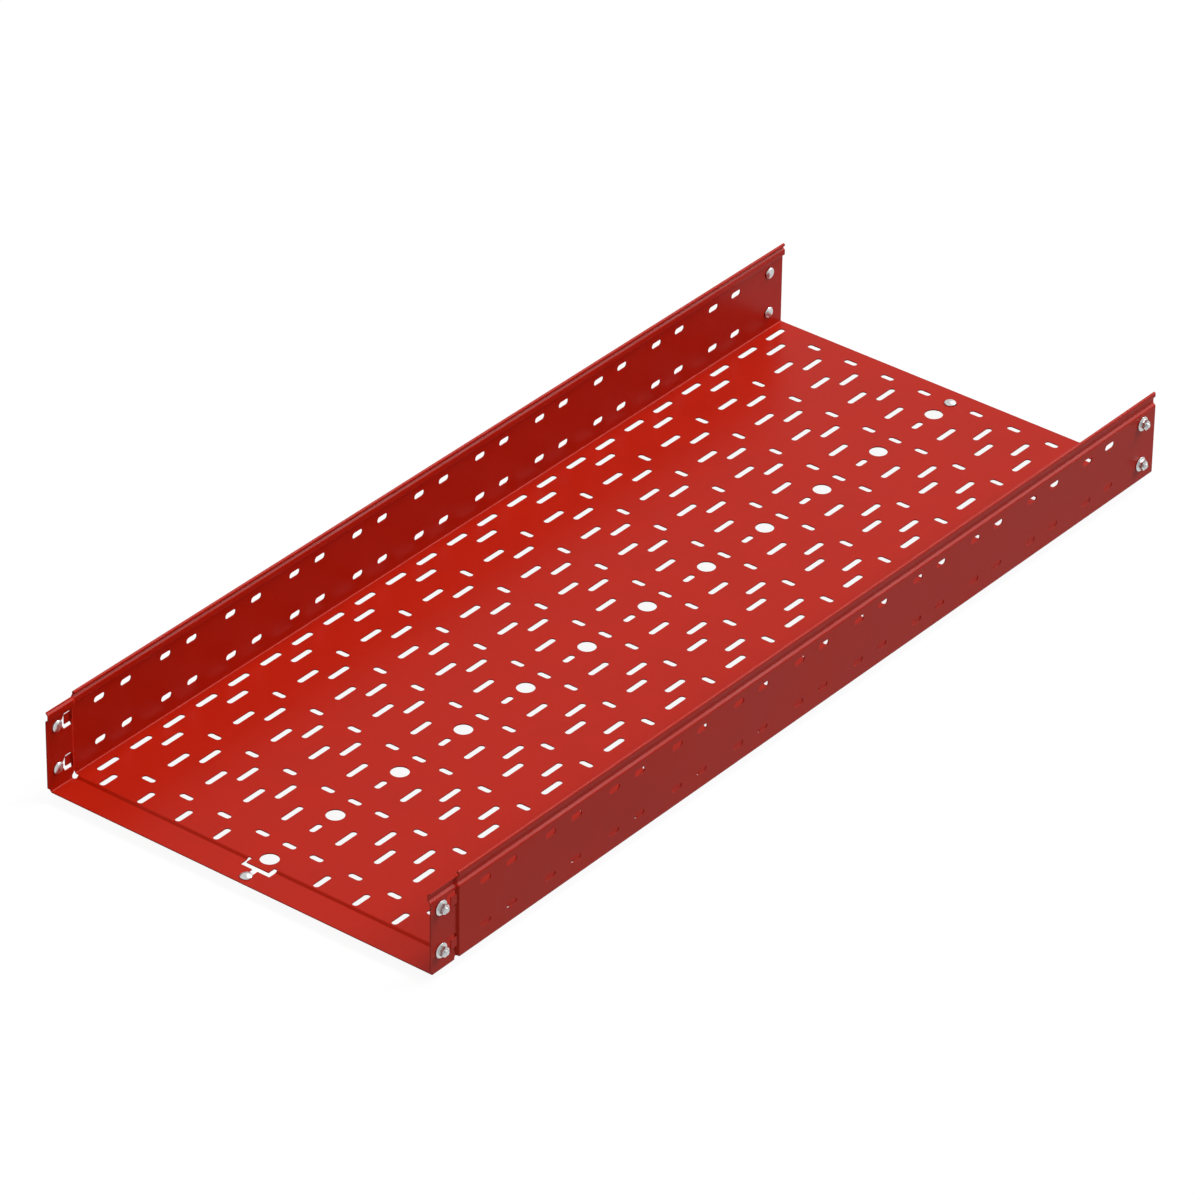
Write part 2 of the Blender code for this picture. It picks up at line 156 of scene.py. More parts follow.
CORNER_STEPS = 8
RIM_RADIUS = 0.0014
RIM_BENDS = 4
RIM_STEPS = 4
HEM_STEPS = 12
RAMP_STEPS = 6
SLOT_END_STEPS = 10
ROUND_HOLE_POINTS = 40
CORNER_POINTS = 4
FORK_CORNER = 0.0006
ROUND_POINTS = 48
DOME_STEPS = 12
RINGS_PER_PITCH = 10
SAME_POINT = 1e-6
INSIDE_TRIANGLES = 1

# Places that follow from the sizes

WALL_END = -LENGTH / 2
PLAIN_END = LENGTH / 2
BASE_END = WALL_END + BASE_SETBACK
RAMP_FOOT = WALL_END + COUPLING_LENGTH
RAMP_TOP = RAMP_FOOT + RAMP_LENGTH
FIRST_X = WALL_END + FIRST_HOLE
LAST_X = PLAIN_END - END_MARGIN
JOGGLE = SHEET + JOGGLE_CLEARANCE
HALF_SHEET = SHEET / 2
WALL_Y = WIDTH / 2 - HALF_SHEET
EDGE_ROW_Y = WIDTH / 2 - EDGE_ROW_FROM_WALL
NEAR_BOLT_X = WALL_END + BOLT_X
INNER = 1
OUTER = -1


def in_scene(name, data):
    """A new object with the given data, put into the scene."""
    piece = bpy.data.objects.new(name, data)
    bpy.context.scene.collection.objects.link(piece)
    return piece


# Folded section. Each corner of it is (y, z, normal y, normal z), the normal pointing into the tray

def arc(centre, radius, start, stop, steps, turn):
    """Corners on an arc. Angles in degrees. Turn is 1 if the tray's inside is at its centre."""
    corners = []
    for step in range(steps + 1):
        angle = math.radians(start + (stop - start) * step / steps)
        y, z = math.cos(angle), math.sin(angle)
        corners.append((centre[0] + radius * y, centre[1] + radius * z, -turn * y, -turn * z))
    return corners


def fillet(before, corner, after):
    """Corners of a small bend in place of a sharp one."""
    a = (Vector(before) - Vector(corner)).normalized()
    b = (Vector(after) - Vector(corner)).normalized()
    half = math.acos(max(-1.0, min(1.0, a.dot(b)))) / 2
    reach = RIM_RADIUS / math.tan(half)
    middle = Vector(corner) + (a + b).normalized() * RIM_RADIUS / math.sin(half)
    start = Vector(corner) + a * reach - middle
    stop = Vector(corner) + b * reach - middle
    left = start.x * stop.y - start.y * stop.x > 0
    corners = []
    for step in range(RIM_STEPS + 1):
        arm = start.slerp(stop, step / RIM_STEPS).normalized()
        normal = arm * (-1 if left else 1)
        place = middle + arm * RIM_RADIUS
        corners.append((place.x, place.y, normal.x, normal.y))
    return corners


def half_section(wall_y, base_z):
    """The sheet's middle line, from the centreline out and up to the rim's edge."""
    corner = BEND_RADIUS + HALF_SHEET
    hem = HEM_RADIUS + HALF_SHEET
    hem_z = HEIGHT - HALF_SHEET - hem
    rim_z = HEIGHT - RIM_BEND_DROP
    web_y = wall_y - LEDGE_WIDTH
    web_z = rim_z + LEDGE_RISE
    lip_y = web_y + LIP_SET_OUT
    lip_z = web_z + WEB_HEIGHT + LIP_RISE
    line = [(wall_y, base_z + corner), (wall_y, rim_z), (web_y, web_z)]
    line += [(web_y, web_z + WEB_HEIGHT), (lip_y, lip_z), (lip_y, hem_z)]
    corners = [(0.0, base_z, 0.0, 1.0)]
    corners += arc((wall_y - corner, base_z + corner), corner, -90, 0, CORNER_STEPS, 1)
    for before, bend, after in zip(line, line[1:], line[2:]):
        corners += fillet(before, bend, after)
    corners += arc((lip_y - hem, hem_z), hem, 0, 180, HEM_STEPS, 1)
    corners.append((lip_y - 2 * hem, HEIGHT - HEM_LEG_DROP, 1.0, 0.0))
    return corners


def distances(corners):
    """How far along the line each corner is."""
    along = [0.0]
    for before, after in zip(corners, corners[1:]):
        along.append(along[-1] + math.dist(before[:2], after[:2]))
    return along


def at(values, places, u):
    """The value at the distance u, between those given at the places."""
    for u0, u1, before, after in zip(places, places[1:], values, values[1:]):
        if u <= u1 + SAME_POINT:
            share = min(max((u - u0) / (u1 - u0), 0.0), 1.0) if u1 > u0 else 1.0
            return [a + (b - a) * share for a, b in zip(before, after)]
    return list(values[-1])


MAIN_SECTION = half_section(WALL_Y, HALF_SHEET)
COUPLING_SECTION = half_section(WALL_Y - JOGGLE, HALF_SHEET - JOGGLE)
MAIN_U = distances(MAIN_SECTION)
COUPLING_U = distances(COUPLING_SECTION)

CORNER_END = 1 + CORNER_STEPS
RIM_END = CORNER_END + RIM_BENDS * (RIM_STEPS + 1)
COUPLING_RIM_U = MAIN_U[RIM_END] + HEIGHT - COUPLING_RIM_DROP - MAIN_SECTION[RIM_END][1]
WALL_U_FROM_Z = MAIN_U[CORNER_END] - MAIN_SECTION[CORNER_END][1]
WALL_ROWS_U = [WALL_U_FROM_Z + z for z in (LOWER_WALL_ROW_Z, HEIGHT - UPPER_WALL_ROW_DROP)]


# Hole outlines in the flat sheet, where a point is (x, u)

def copies(first, last, pitch):
    """Places from first to last, a pitch apart."""
    count = int(math.floor((last - first) / pitch + SAME_POINT)) + 1
    return [first + index * pitch for index in range(max(count, 0))]


def slot(x, u, length, along_x):
    """A round-ended slot."""
    radius = SLOT_WIDTH / 2
    centre = length / 2 - radius
    right = []
    for step in range(SLOT_END_STEPS + 1):
        angle = -math.pi / 2 + math.pi * step / SLOT_END_STEPS
        right.append((centre + radius * math.cos(angle), radius * math.sin(angle)))
    outline = right + [(-a, -b) for a, b in right]
    if along_x:
        return [(x + a, u + b) for a, b in outline]
    return [(x - b, u + a) for a, b in outline]


def round_hole(x, u):
    """A round hole of the middle row."""
    turn = 2 * math.pi / ROUND_HOLE_POINTS
    radius = ROUND_HOLE / 2
    return [
        (x + radius * math.cos(turn * k), u + radius * math.sin(turn * k))
        for k in range(ROUND_HOLE_POINTS)
    ]


def with_round_corners(outline, sharp=()):
    """The outline with each corner cut round, apart from those whose numbers are given as sharp."""
    result = []
    count = len(outline)
    for index, corner in enumerate(outline):
        if index in sharp:
            result.append(corner)
            continue
        before = Vector(outline[index - 1])
        after = Vector(outline[(index + 1) % count])
        corner = Vector(corner)
        reach = min(FORK_CORNER, (before - corner).length / 3, (after - corner).length / 3)
        start = corner + (before - corner).normalized() * reach
        stop = corner + (after - corner).normalized() * reach
        for step in range(CORNER_POINTS + 1):
            t = step / CORNER_POINTS
            place = start * (1 - t) ** 2 + corner * 2 * t * (1 - t) + stop * t ** 2
            result.append(tuple(place))
    return result


def stem_end(x, u):
    """The round end of a fork's stem, from its upper side to its lower side."""
    points = []
    for step in range(SLOT_END_STEPS + 1):
        angle = math.pi / 2 + math.pi * step / SLOT_END_STEPS
        points.append((x + SLOT_WIDTH / 2 * math.cos(angle), u + SLOT_WIDTH / 2 * math.sin(angle)))
    return points


def fork(half, u, stem_x):
    """A fork's outline from its upper half, with its corners cut round and its stem's end added."""
    mirrored = [(x, -b) for x, b in half[::-1]]
    corners = half + [(stem_x, SLOT_WIDTH / 2), (stem_x, -SLOT_WIDTH / 2)] + mirrored
    stem = len(half)
    prong_ends = {1, 2, len(corners) - 2, len(corners) - 3}
    rounded = with_round_corners(corners, sharp={stem, stem + 1} | prong_ends)
    place = rounded.index((stem_x, SLOT_WIDTH / 2))
    end = stem_end(stem_x, 0.0)
    outline = rounded[:place] + end + rounded[place + 2:]
    return [(x, u + b) for x, b in outline]


def wall_fork(u):
    """The Y-shaped cut-out round a wall bolt. The tab between its prongs stays in the main wall."""
    flare = WALL_END + WALL_FLARE_X
    tab = WALL_TAB_WIDTH / 2
    prong = tab + WALL_PRONG_WIDTH
    half = [
        (WALL_END + WALL_TAB_X, tab),
        (RAMP_FOOT, tab),
        (RAMP_FOOT, prong),
        (flare + WALL_FLARE_LENGTH, prong),
        (flare, SLOT_WIDTH / 2),
    ]
    return fork(half, u, NEAR_BOLT_X - WALL_STEM_EXTRA)


def base_fork():
    """The fork round the base bolt. The tab between its prongs stays in the main base."""
    bar = WALL_END + BASE_BAR_X
    tab = BASE_TAB_WIDTH / 2
    prong = tab + BASE_PRONG_WIDTH
    half = [
        (bar + BASE_BAR_LENGTH, tab),
        (RAMP_TOP, tab),
        (RAMP_TOP, prong),
        (bar, prong),
        (bar, SLOT_WIDTH / 2),
    ]
    return fork(half, 0.0, NEAR_BOLT_X)


def relief(sign):
    """The notch across the bottom bend, where the joggle crosses it."""
    middle = (RAMP_FOOT + RAMP_TOP) / 2
    u0 = COUPLING_U[1] - RELIEF_MARGIN
    u1 = MAIN_U[CORNER_END] + RELIEF_MARGIN
    radius = RELIEF_LENGTH / 2
    points = []
    for centre, start in ((u0 + radius, 180), (u1 - radius, 0)):
        for step in range(SLOT_END_STEPS + 1):
            angle = math.radians(start + 180 * step / SLOT_END_STEPS)
            points.append((middle + radius * math.cos(angle), centre + radius * math.sin(angle)))
    return [(x, sign * u) for x, u in points]


def hole_outlines():
    """Every hole of the sheet."""
    holes = [base_fork(), relief(1), relief(-1)]
    half_long = LONG_SLOT / 2
    half_short = SHORT_SLOT / 2
    last_row = EDGE_ROW_Y - ROW_SPACING_LEAST

    inline_rows = copies(INLINE_ROW_Y, last_row, PITCH_Y)
    staggered_rows = copies(STAGGERED_ROW_Y, last_row, PITCH_Y)
    edge_x = copies(FIRST_X + EDGE_ROW_START, LAST_X - half_long, PITCH_X / 2)
    inline_x = copies(FIRST_X, LAST_X - half_long, PITCH_X)
    staggered_x = copies(FIRST_X + STAGGERED_LONG_X, LAST_X - half_long, PITCH_X)
    cross_x = copies(FIRST_X + CROSS_SLOT_X, LAST_X - SLOT_WIDTH / 2, PITCH_X)
    centre_x = copies(FIRST_X + CENTRE_SLOT_X, LAST_X - half_short, PITCH_X)
    wall_x = copies(FIRST_X + CROSS_SLOT_X, LAST_X - half_short, PITCH_X)
    first_start = FIRST_X + FIRST_INLINE_START
    first_length = inline_x[0] + half_long - first_start

    for sign in (1, -1):
        holes += [slot(x, sign * EDGE_ROW_Y, LONG_SLOT, True) for x in edge_x]
        for row in inline_rows:
            holes.append(slot(first_start + first_length / 2, sign * row, first_length, True))
            holes += [slot(x, sign * row, LONG_SLOT, True) for x in inline_x[1:]]
        for row in staggered_rows:
            holes += [slot(x, sign * row, LONG_SLOT, True) for x in staggered_x]
            holes += [slot(x, sign * row, SHORT_SLOT, False) for x in cross_x]
        for row in WALL_ROWS_U:
            holes.append(wall_fork(sign * row))
            holes += [slot(x, sign * row, SHORT_SLOT, True) for x in wall_x + centre_x]

    holes += [round_hole(x, 0.0) for x in inline_x]
    holes += [slot(x, 0.0, SHORT_SLOT, False) for x in cross_x]
    holes += [slot(x, 0.0, SHORT_SLOT, True) for x in centre_x]
    return holes


# Outline of the flat sheet and its fold lines

def sheet_outline():
    """The outline of the flat sheet. It has a point wherever a bend meets an end."""
    corner_cut = COUPLING_U[CORNER_END] + BASE_SETBACK
    near = [(BASE_END, u) for u in COUPLING_U[1:CORNER_END + 1]]
    near.append((WALL_END, corner_cut))
    near += [(WALL_END, u) for u in COUPLING_U[CORNER_END + 1:RIM_END + 1]]
    near += [(WALL_END, COUPLING_RIM_U), (RAMP_TOP, COUPLING_RIM_U)]
    near += [(RAMP_TOP, u) for u in MAIN_U[RIM_END + 1:]]
    far = [(PLAIN_END, u) for u in MAIN_U[:0:-1]]
    upper = near + far
    lower = [(x, -u) for x, u in upper[::-1]]
    return upper + lower


def ramp_places():
    """Places along the ramp of the joggle, with its foot and its top."""
    return [RAMP_FOOT + RAMP_LENGTH * step / RAMP_STEPS for step in range(RAMP_STEPS + 1)]


def fold_lines():
    """Straight lines that the triangles must not cross."""
    lines = []
    middle = (RAMP_FOOT + RAMP_TOP) / 2
    prong = BASE_TAB_WIDTH / 2 + BASE_PRONG_WIDTH
    half_fork = WALL_TAB_WIDTH / 2 + WALL_PRONG_WIDTH
    for sign in (1, -1):
        for u in COUPLING_U[1:CORNER_END + 1]:
            lines.append(((BASE_END, sign * u), (middle, sign * u)))
        for u in MAIN_U[1:CORNER_END + 1]:
            lines.append(((middle, sign * u), (PLAIN_END, sign * u)))
        for u in MAIN_U[CORNER_END + 1:RIM_END + 1]:
            lines.append(((WALL_END, sign * u), (PLAIN_END, sign * u)))
        for u in MAIN_U[RIM_END + 1:-1]:
            lines.append(((RAMP_TOP, sign * u), (PLAIN_END, sign * u)))
        for x in ramp_places()[1:]:
            lines.append(((x, sign * prong), (x, sign * COUPLING_RIM_U)))
        start = prong
        for row in WALL_ROWS_U:
            lines.append(((RAMP_FOOT, sign * start), (RAMP_FOOT, sign * (row - half_fork))))
            start = row + half_fork
        lines.append(((RAMP_FOOT, sign * start), (RAMP_FOOT, sign * COUPLING_RIM_U)))
    return lines


def smooth(share):
    """An S-shaped rise from 0 to 1, with its slope."""
    share = min(max(share, 0.0), 1.0)
    return share * share * (3 - 2 * share), 6 * share * (1 - share)


def coupling_share(x, u):
    """1 where the sheet is joggled and 0 where it isn't, with how fast that changes along x."""
    if u <= BASE_TAB_WIDTH / 2 + SAME_POINT and x > WALL_END + BASE_BAR_X + SAME_POINT:
        return 0.0, 0.0
    ramp, slope = smooth((RAMP_TOP - x) / RAMP_LENGTH)
    for row in WALL_ROWS_U:
        away = abs(u - row) - WALL_TAB_WIDTH / 2
        if away >= WALL_PRONG_WIDTH or x < WALL_END + WALL_TAB_X - SAME_POINT:
            continue
        if away <= SAME_POINT:
            return 0.0, 0.0
        if x >= RAMP_FOOT - SAME_POINT:
            blend = smooth(away / WALL_PRONG_WIDTH)[0]
            return ramp * blend, slope * blend
    return ramp, slope


def folded(x, u, side):
    """The place and normal in the folded tray of a point of the flat sheet, on one face."""
    share, slope = coupling_share(x, abs(u))
    main = at(MAIN_SECTION, MAIN_U, abs(u))
    coupling = at(COUPLING_SECTION, COUPLING_U, abs(u))
    y, z, normal_y, normal_z = (m + (c - m) * share for m, c in zip(main, coupling))
    rise = ((main[0] - coupling[0]) * normal_y + (main[1] - coupling[1]) * normal_z) / RAMP_LENGTH
    normal = Vector((-rise * slope, normal_y, normal_z)).normalized()
    place = Vector((x, y, z)) + normal * (side * HALF_SHEET)
    normal = normal * side
    if u < 0:
        place.y = -place.y
        normal.y = -normal.y
    return place, normal


def counterclockwise(loop):
    """The loop, turned round if it runs clockwise."""
    area = sum(x0 * u1 - x1 * u0 for (x0, u0), (x1, u1) in zip(loop, loop[1:] + loop[:1]))
    return loop if area > 0 else loop[::-1]


def flat_triangles():
    """Points and counterclockwise triangles of the flat sheet."""
    loops = [counterclockwise(loop) for loop in [sheet_outline()] + hole_outlines()]
    points = []
    faces = []
    for loop in loops:
        faces.append(list(range(len(points), len(points) + len(loop))))
        points += loop
    edges = []
    for start, end in fold_lines():
        edges.append((len(points), len(points) + 1))
        points += [start, end]
    result = delaunay_2d_cdt(
        [Vector(p) for p in points], edges, faces, INSIDE_TRIANGLES, SAME_POINT
    )
    made, _, triangles, sources, _, owners = result
    exact = []
    for index, place in enumerate(made):
        exact.append(points[sources[index][0]] if sources[index] else tuple(place))
    kept = []
    for triangle, owner in zip(triangles, owners):
        if set(owner) != {0}:
            continue
        (x0, u0), (x1, u1), (x2, u2) = (exact[i] for i in triangle)
        turn = (x1 - x0) * (u2 - u0) - (x2 - x0) * (u1 - u0)
        kept.append(tuple(triangle) if turn > 0 else tuple(triangle)[::-1])
    return exact, kept


def tray_piece():
    """The folded sheet as an object, with the normals of its smooth bends."""
    flat, triangles = flat_triangles()
    used = sorted({index for triangle in triangles for index in triangle})
    number = {index: place for place, index in enumerate(used)}
    count = len(used)
    places = []
    normals = []
    for side in (INNER, OUTER):
        for index in used:
            place, normal = folded(*flat[index], side)
            places.append(place)
            normals.append(normal)
    faces = []
    edges = set()
    for triangle in triangles:
        a, b, c = (number[index] for index in triangle)
        faces.append((a, b, c))
        faces.append((c + count, b + count, a + count))
        edges.update([(a, b), (b, c), (c, a)])
    sheet_faces = len(faces)
    for a, b in edges:
        if (b, a) not in edges:
            faces.append((b, a, a + count, b + count))
    mesh = bpy.data.meshes.new("painted_tray")
    mesh.from_pydata(places, [], faces)
    mesh.update()
    mesh.shade_smooth()
    corner_normals = []
    for face in mesh.polygons:
        for vertex in face.vertices:
            flat_normal = face.index >= sheet_faces
            corner_normals.append(face.normal.copy() if flat_normal else normals[vertex])
    mesh.normals_split_custom_set(corner_normals)
    return in_scene("painted_tray", mesh)


# Bolts and nuts

def ring(radius, height):
    """A circle of points round the z axis."""
    turn = 2 * math.pi / ROUND_POINTS
    return [
        (radius * math.cos(turn * k), radius * math.sin(turn * k), height)
        for k in range(ROUND_POINTS)
    ]


def skin(rings, capped):
    """Faces round a stack of rings. Its ends are capped, or else its last ring joins its first."""
    sides = len(rings[0])
    points = [point for one in rings for point in one]
    faces = []
    gaps = len(rings) - 1 if capped else len(rings)
    for level in range(gaps):
        low = level * sides
        high = (level + 1) % len(rings) * sides
        for k in range(sides):
            after = (k + 1) % sides
            faces.append((low + k, low + after, high + after, high + k))
    if capped:
        faces.append(tuple(range(sides))[::-1])
        faces.append(tuple(range(len(points) - sides, len(points))))
    return points, faces


def thread_rings(low, high):
    """Rings of a helical thread, from low to high. It runs out at both ends."""
    rings = []
    steps = int(round((high - low) / THREAD_PITCH * RINGS_PER_PITCH))
    for step in range(steps + 1):
        height = low + (high - low) * step / steps
        run_out = min((height - low) / THREAD_PITCH, (high - height) / THREAD_PITCH, 1.0)
        points = []
        for k in range(ROUND_POINTS):
            angle = 2 * math.pi * k / ROUND_POINTS
            phase = (height / THREAD_PITCH - k / ROUND_POINTS) % 1.0
            share = GROOVE_PEAK - GROOVE_SLOPE * abs(phase - 0.5)
            depth = THREAD_DEPTH * min(1.0, max(0.0, share))
            radius = THREAD / 2 - THREAD_DEPTH * (1 - run_out) - depth * run_out
            points.append((radius * math.cos(angle), radius * math.sin(angle), height))
        rings.append(points)
    return rings


def bolt_mesh():
    """A domed head above z = 0 and a threaded shank below it."""
    head = HEAD_WIDTH / 2
    shank = THREAD / 2
    rise = HEAD_HEIGHT - HEAD_EDGE
    dome = (head * head + rise * rise) / (2 * rise)
    rings = thread_rings(-BOLT_LENGTH, -SHEET)
    rings += [ring(shank, -SHEET * PLAIN_SHANK_SHARE), ring(shank, 0.0)]
    rings += [ring(head - HEAD_BEVEL, 0.0), ring(head, HEAD_BEVEL)]
    rings.append(ring(head, HEAD_EDGE - HEAD_BEVEL))
    limit = math.asin(head / dome)
    for step in range(1, DOME_STEPS):
        angle = limit * (1 - step / DOME_STEPS)
        rings.append(ring(dome * math.sin(angle), HEAD_HEIGHT - dome + dome * math.cos(angle)))
    return skin(rings, True)


def hexagon_radius(k):
    """Distance from the nut's axis to its side, at the k-th point round it."""
    angle = (2 * math.pi * k / ROUND_POINTS) % (math.pi / 3) - math.pi / 6
    return NUT_FLATS / 2 / math.cos(angle)


def nut_mesh():
    """A hexagon nut with a round flange, standing on z = 0, its corners cut by a cone."""
    bore = THREAD / 2 + BORE_PLAY
    flange = FLANGE_WIDTH / 2
    face = NUT_FLATS / 2 * NUT_FACE_SHARE
    turn = 2 * math.pi / ROUND_POINTS
    foot = []
    shoulder = []
    for k in range(ROUND_POINTS):
        radius = hexagon_radius(k)
        x, y = radius * math.cos(turn * k), radius * math.sin(turn * k)
        cone = FLANGE_EDGE + FLANGE_CONE * (flange - radius) / (flange - NUT_FLATS / 2)
        foot.append((x, y, cone))
        shoulder.append((x, y, NUT_HEIGHT - (radius - face) * math.tan(NUT_CHAMFER_ANGLE)))
    rings = [
        ring(bore + BORE_BEVEL, 0.0),
        ring(flange - FLANGE_BEVEL, 0.0),
        ring(flange, FLANGE_BEVEL),
        ring(flange, FLANGE_EDGE - FLANGE_BEVEL),
        ring(flange - FLANGE_BEVEL, FLANGE_EDGE),
        foot,
        shoulder,
        ring(face, NUT_HEIGHT),
        ring(bore + BORE_BEVEL, NUT_HEIGHT),
        ring(bore, NUT_HEIGHT - BORE_BEVEL),
        ring(bore, BORE_BEVEL),
    ]
    return skin(rings, False)


def joint_sets():
    """(name, point on the sheet's middle, direction into the tray) of each bolt."""
    far_bolts = copies(FIRST_X + CROSS_SLOT_X, LAST_X - SHORT_SLOT / 2, PITCH_X)
    ends = [("near", NEAR_BOLT_X, JOGGLE), ("far", far_bolts[-1], 0.0)]
    sets = []
    for end, x, shift in ends:
        sets.append((end + "_base", Vector((x, 0.0, HALF_SHEET - shift)), Vector((0, 0, 1))))
        for side, sign in (("left", 1), ("right", -1)):
            for row, u in enumerate(WALL_ROWS_U, start=1):
                place = Vector((x, sign * (WALL_Y - shift), u - WALL_U_FROM_Z))
                sets.append((f"{end}_{side}_{row}", place, Vector((0, -sign, 0))))
    return sets


def fastener(name, mesh, place, up, turn):
    """A bolt or nut at its place, with its own z axis along up, turned about it."""
    upright = up.to_track_quat("Z", "Y").to_matrix().to_4x4()
    piece = in_scene(name, mesh)
    piece.matrix_world = Matrix.Translation(place) @ upright @ Matrix.Rotation(turn, 4, "Z")
    return piece


def smooth_mesh(name, parts, angle):
    """A smooth mesh of points and faces. Edges that bend by more than the angle stay sharp."""
    points, faces = parts
    mesh = bpy.data.meshes.new(name)
    mesh.from_pydata(points, [], faces)
    mesh.update()
    mesh.shade_smooth()
    mesh.set_sharp_from_angle(angle=math.radians(angle))
    return mesh


# Materials. A noise has its scale and detail, and a bump its height and strength

NOISE_RANGE = (0.3, 0.7)

PAINT_COLOURS = ((0.484, 0.0113, 0.0010), (0.514, 0.0127, 0.0013))
PAINT_ROUGHNESS = (0.32, 0.37)
PAINT_SPECULAR = 0.115
PAINT_CLOUDS = (14.0, 3.0)
PAINT_PEEL = (900.0, 2.0)
PAINT_WAVE = (9.0, 1.0)
PEEL_BUMP = (0.00004, 0.5)
WAVE_BUMP = (0.0012, 0.25)

ZINC_COLOURS = ((0.50, 0.51, 0.52), (0.66, 0.66, 0.65))
ZINC_ROUGHNESS = (0.24, 0.40)
ZINC_MOTTLE = (350.0, 4.0)
ZINC_GRAIN = (2600.0, 2.0)
GRAIN_BUMP = (0.00003, 0.4)


def new_material(name):
    """A node material, with its nodes and links."""
    material = bpy.data.materials.new(name)
    material.use_nodes = True
    return material, material.node_tree.nodes, material.node_tree.links


def noise(nodes, links, coordinates, scale, detail):
    """A noise over the given coordinates."""
    texture = nodes.new("ShaderNodeTexNoise")
    texture.inputs["Scale"].default_value = scale
    texture.inputs["Detail"].default_value = detail
    links.new(coordinates, texture.inputs["Vector"])
    return texture.outputs["Fac"]


def spread(nodes, links, value, low, high):
    """The noise's value, brought to a range from low to high."""
    node = nodes.new("ShaderNodeMapRange")
    node.inputs["From Min"].default_value = NOISE_RANGE[0]
    node.inputs["From Max"].default_value = NOISE_RANGE[1]
    node.inputs["To Min"].default_value = low
    node.inputs["To Max"].default_value = high
    links.new(value, node.inputs["Value"])
    return node.outputs["Result"]


def colours(nodes, links, value, low, high):
    """A colour between the two given ones, by the noise's value."""
    ramp = nodes.new("ShaderNodeValToRGB")
    for element, position, colour in zip(ramp.color_ramp.elements, NOISE_RANGE, (low, high)):
        element.position = position
        element.color = (*colour, 1.0)
    links.new(value, ramp.inputs["Fac"])
    return ramp.outputs["Color"]


def bump(nodes, links, height, distance, strength, normal=None):
    """A bump from the given height, on top of an earlier one if its normal is given."""
    node = nodes.new("ShaderNodeBump")
    node.inputs["Distance"].default_value = distance
    node.inputs["Strength"].default_value = strength
    links.new(height, node.inputs["Height"])
    if normal:
        links.new(normal, node.inputs["Normal"])
    return node.outputs["Normal"]


def red_paint():
    """Semi-gloss red paint, with a fine orange peel and slight clouds in its colour."""
    material, nodes, links = new_material("red_paint_finish")
    shader = nodes["Principled BSDF"]
    coordinates = nodes.new("ShaderNodeTexCoord").outputs["Object"]
    clouds = noise(nodes, links, coordinates, *PAINT_CLOUDS)
    peel = noise(nodes, links, coordinates, *PAINT_PEEL)
    wave = noise(nodes, links, coordinates, *PAINT_WAVE)
    links.new(colours(nodes, links, clouds, *PAINT_COLOURS), shader.inputs["Base Color"])
    links.new(spread(nodes, links, clouds, *PAINT_ROUGHNESS), shader.inputs["Roughness"])
    shader.inputs["Specular IOR Level"].default_value = PAINT_SPECULAR
    fine = bump(nodes, links, peel, *PEEL_BUMP)
    links.new(bump(nodes, links, wave, *WAVE_BUMP, fine), shader.inputs["Normal"])
    return material


def zinc():
    """Bright zinc plating, with a faint mottle."""
    material, nodes, links = new_material("zinc_finish")
    shader = nodes["Principled BSDF"]
    coordinates = nodes.new("ShaderNodeTexCoord").outputs["Object"]
    mottle = noise(nodes, links, coordinates, *ZINC_MOTTLE)
    grain = noise(nodes, links, coordinates, *ZINC_GRAIN)
    links.new(colours(nodes, links, mottle, *ZINC_COLOURS), shader.inputs["Base Color"])
    links.new(spread(nodes, links, mottle, *ZINC_ROUGHNESS), shader.inputs["Roughness"])
    shader.inputs["Metallic"].default_value = 1.0
    links.new(bump(nodes, links, grain, *GRAIN_BUMP), shader.inputs["Normal"])
    return material


# Studio

CAMERA_PLACE = (-5.175, -4.040, 4.2196)
CAMERA_RIGHT = (0.62353, -0.78171, 0.01190)
CAMERA_DOWN = (-0.41415, -0.34318, -0.84303)
CAMERA_FORWARD = (0.66309, 0.52073, -0.53772)
CAMERA_LENS = 226.7
CAMERA_SENSOR = 36.0

FLOOR_DROP = 0.0002
FLOOR_HALF = 40.0
FLOOR_GLOW = 0.93
FLOOR_SHADE = 0.10
FLOOR_COLOUR = 0.22
SKY_LIGHT = 0.315
WHITE = (1.0, 1.0, 1.0, 1.0)

# Each lamp's name, strength, angle across and rotation, with angles in degrees.
# The low lamp gives the bends of the rims their highlights.
LAMPS = [
    ("soft_lamp", 1.88, 26.0, (7.0, 37.0, 0.0)),
    ("low_lamp", 0.85, 12.0, (30.0, 49.7, 0.0)),
]


def seen_ray(nodes, links):
    """1 for a ray from the camera, off gloss or through glass."""
    path = nodes.new("ShaderNodeLightPath")
    value = path.outputs["Is Camera Ray"]
    for name in ("Is Glossy Ray", "Is Transmission Ray"):
        larger = nodes.new("ShaderNodeMath")
        larger.operation = "MAXIMUM"
        links.new(value, larger.inputs[0])
        links.new(path.outputs[name], larger.inputs[1])
        value = larger.outputs[0]
    return value


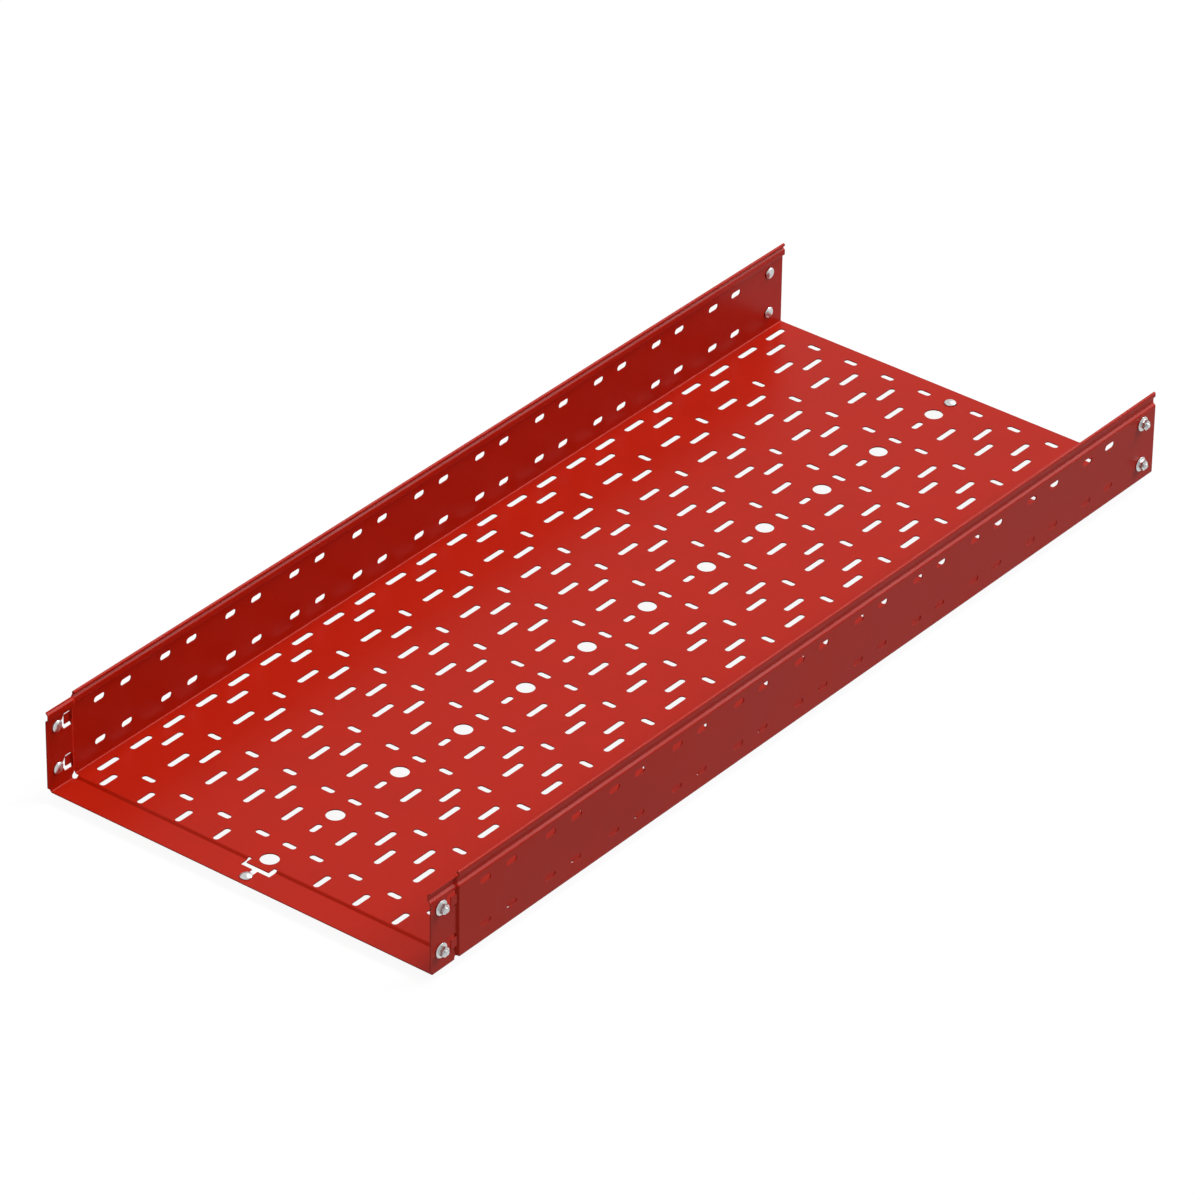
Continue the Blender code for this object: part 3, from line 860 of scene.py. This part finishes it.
def make_floor():
    """A floor that looks white, also in gloss, keeps shadows, and lights the tray as a grey one."""
    low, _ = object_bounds()
    height = low.z - FLOOR_DROP
    mesh = bpy.data.meshes.new("floor")
    square = [(-1, -1), (1, -1), (1, 1), (-1, 1)]
    corners = [(a * FLOOR_HALF, b * FLOOR_HALF, height) for a, b in square]
    mesh.from_pydata(corners, [], [(0, 1, 2, 3)])
    mesh.update()
    floor = in_scene("floor", mesh)
    material, nodes, links = new_material("pale_floor")
    nodes.remove(nodes["Principled BSDF"])
    plain = nodes.new("ShaderNodeBsdfDiffuse")
    plain.inputs["Color"].default_value = (FLOOR_COLOUR, FLOOR_COLOUR, FLOOR_COLOUR, 1.0)
    shade = nodes.new("ShaderNodeBsdfDiffuse")
    shade.inputs["Color"].default_value = (FLOOR_SHADE, FLOOR_SHADE, FLOOR_SHADE, 1.0)
    glow = nodes.new("ShaderNodeEmission")
    glow.inputs["Strength"].default_value = FLOOR_GLOW
    both = nodes.new("ShaderNodeAddShader")
    links.new(shade.outputs[0], both.inputs[0])
    links.new(glow.outputs[0], both.inputs[1])
    mix = nodes.new("ShaderNodeMixShader")
    links.new(seen_ray(nodes, links), mix.inputs[0])
    links.new(plain.outputs[0], mix.inputs[1])
    links.new(both.outputs[0], mix.inputs[2])
    links.new(mix.outputs[0], nodes["Material Output"].inputs["Surface"])
    floor.data.materials.append(material)


def make_sky():
    """A sky that looks white, and gives soft light from all sides."""
    world = bpy.data.worlds.new("studio")
    world.use_nodes = True
    bpy.context.scene.world = world
    nodes, links = world.node_tree.nodes, world.node_tree.links
    light = nodes["Background"]
    light.inputs["Strength"].default_value = SKY_LIGHT
    light.inputs["Color"].default_value = WHITE
    white = nodes.new("ShaderNodeBackground")
    white.inputs["Color"].default_value = WHITE
    white.inputs["Strength"].default_value = 1.0
    mix = nodes.new("ShaderNodeMixShader")
    links.new(seen_ray(nodes, links), mix.inputs[0])
    links.new(light.outputs[0], mix.inputs[1])
    links.new(white.outputs[0], mix.inputs[2])
    links.new(mix.outputs[0], nodes["World Output"].inputs["Surface"])


def make_lamps():
    """Two wide suns for plain soft light."""
    for name, strength, across, rotation in LAMPS:
        data = bpy.data.lights.new(name, "SUN")
        data.energy = strength
        data.angle = math.radians(across)
        lamp = in_scene(name, data)
        lamp.rotation_euler = tuple(math.radians(a) for a in rotation)


def make_camera():
    """A camera at the photograph's viewing angle."""
    data = bpy.data.cameras.new("camera")
    data.lens = CAMERA_LENS
    data.sensor_width = CAMERA_SENSOR
    camera = in_scene("camera", data)
    columns = (
        Vector(CAMERA_RIGHT).normalized(),
        -Vector(CAMERA_DOWN).normalized(),
        -Vector(CAMERA_FORWARD).normalized(),
    )
    turn = Matrix(columns).transposed().to_4x4()
    camera.matrix_world = Matrix.Translation(CAMERA_PLACE) @ turn
    bpy.context.scene.camera = camera


# The whole scene

paint = red_paint()
plating = zinc()

tray = tray_piece()
tray.data.materials.append(paint)
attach(tray, "root")
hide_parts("tray")

bolt_shape = smooth_mesh("bolt", bolt_mesh(), BOLT_SHARP_ANGLE)
nut_shape = smooth_mesh("nut", nut_mesh(), NUT_SHARP_ANGLE)
for shape in (bolt_shape, nut_shape):
    shape.materials.append(plating)

for number, (label, middle, inward) in enumerate(joint_sets()):
    stand_off = inward * (HALF_SHEET + FIT_GAP)
    turn = number * BOLT_TURN
    bolt = fastener("domed_bolt_" + label, bolt_shape, middle + stand_off, inward, turn)
    turn *= NUT_TURN_FACTOR
    nut = fastener("flange_nut_" + label, nut_shape, middle - stand_off, -inward, turn)
    for piece, node in ((bolt, "bolt_" + label), (nut, "nut_" + label)):
        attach(piece, "root")
        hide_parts(node)

make_floor()
make_sky()
make_lamps()
make_camera()
bpy.context.scene.view_settings.view_transform = "Standard"
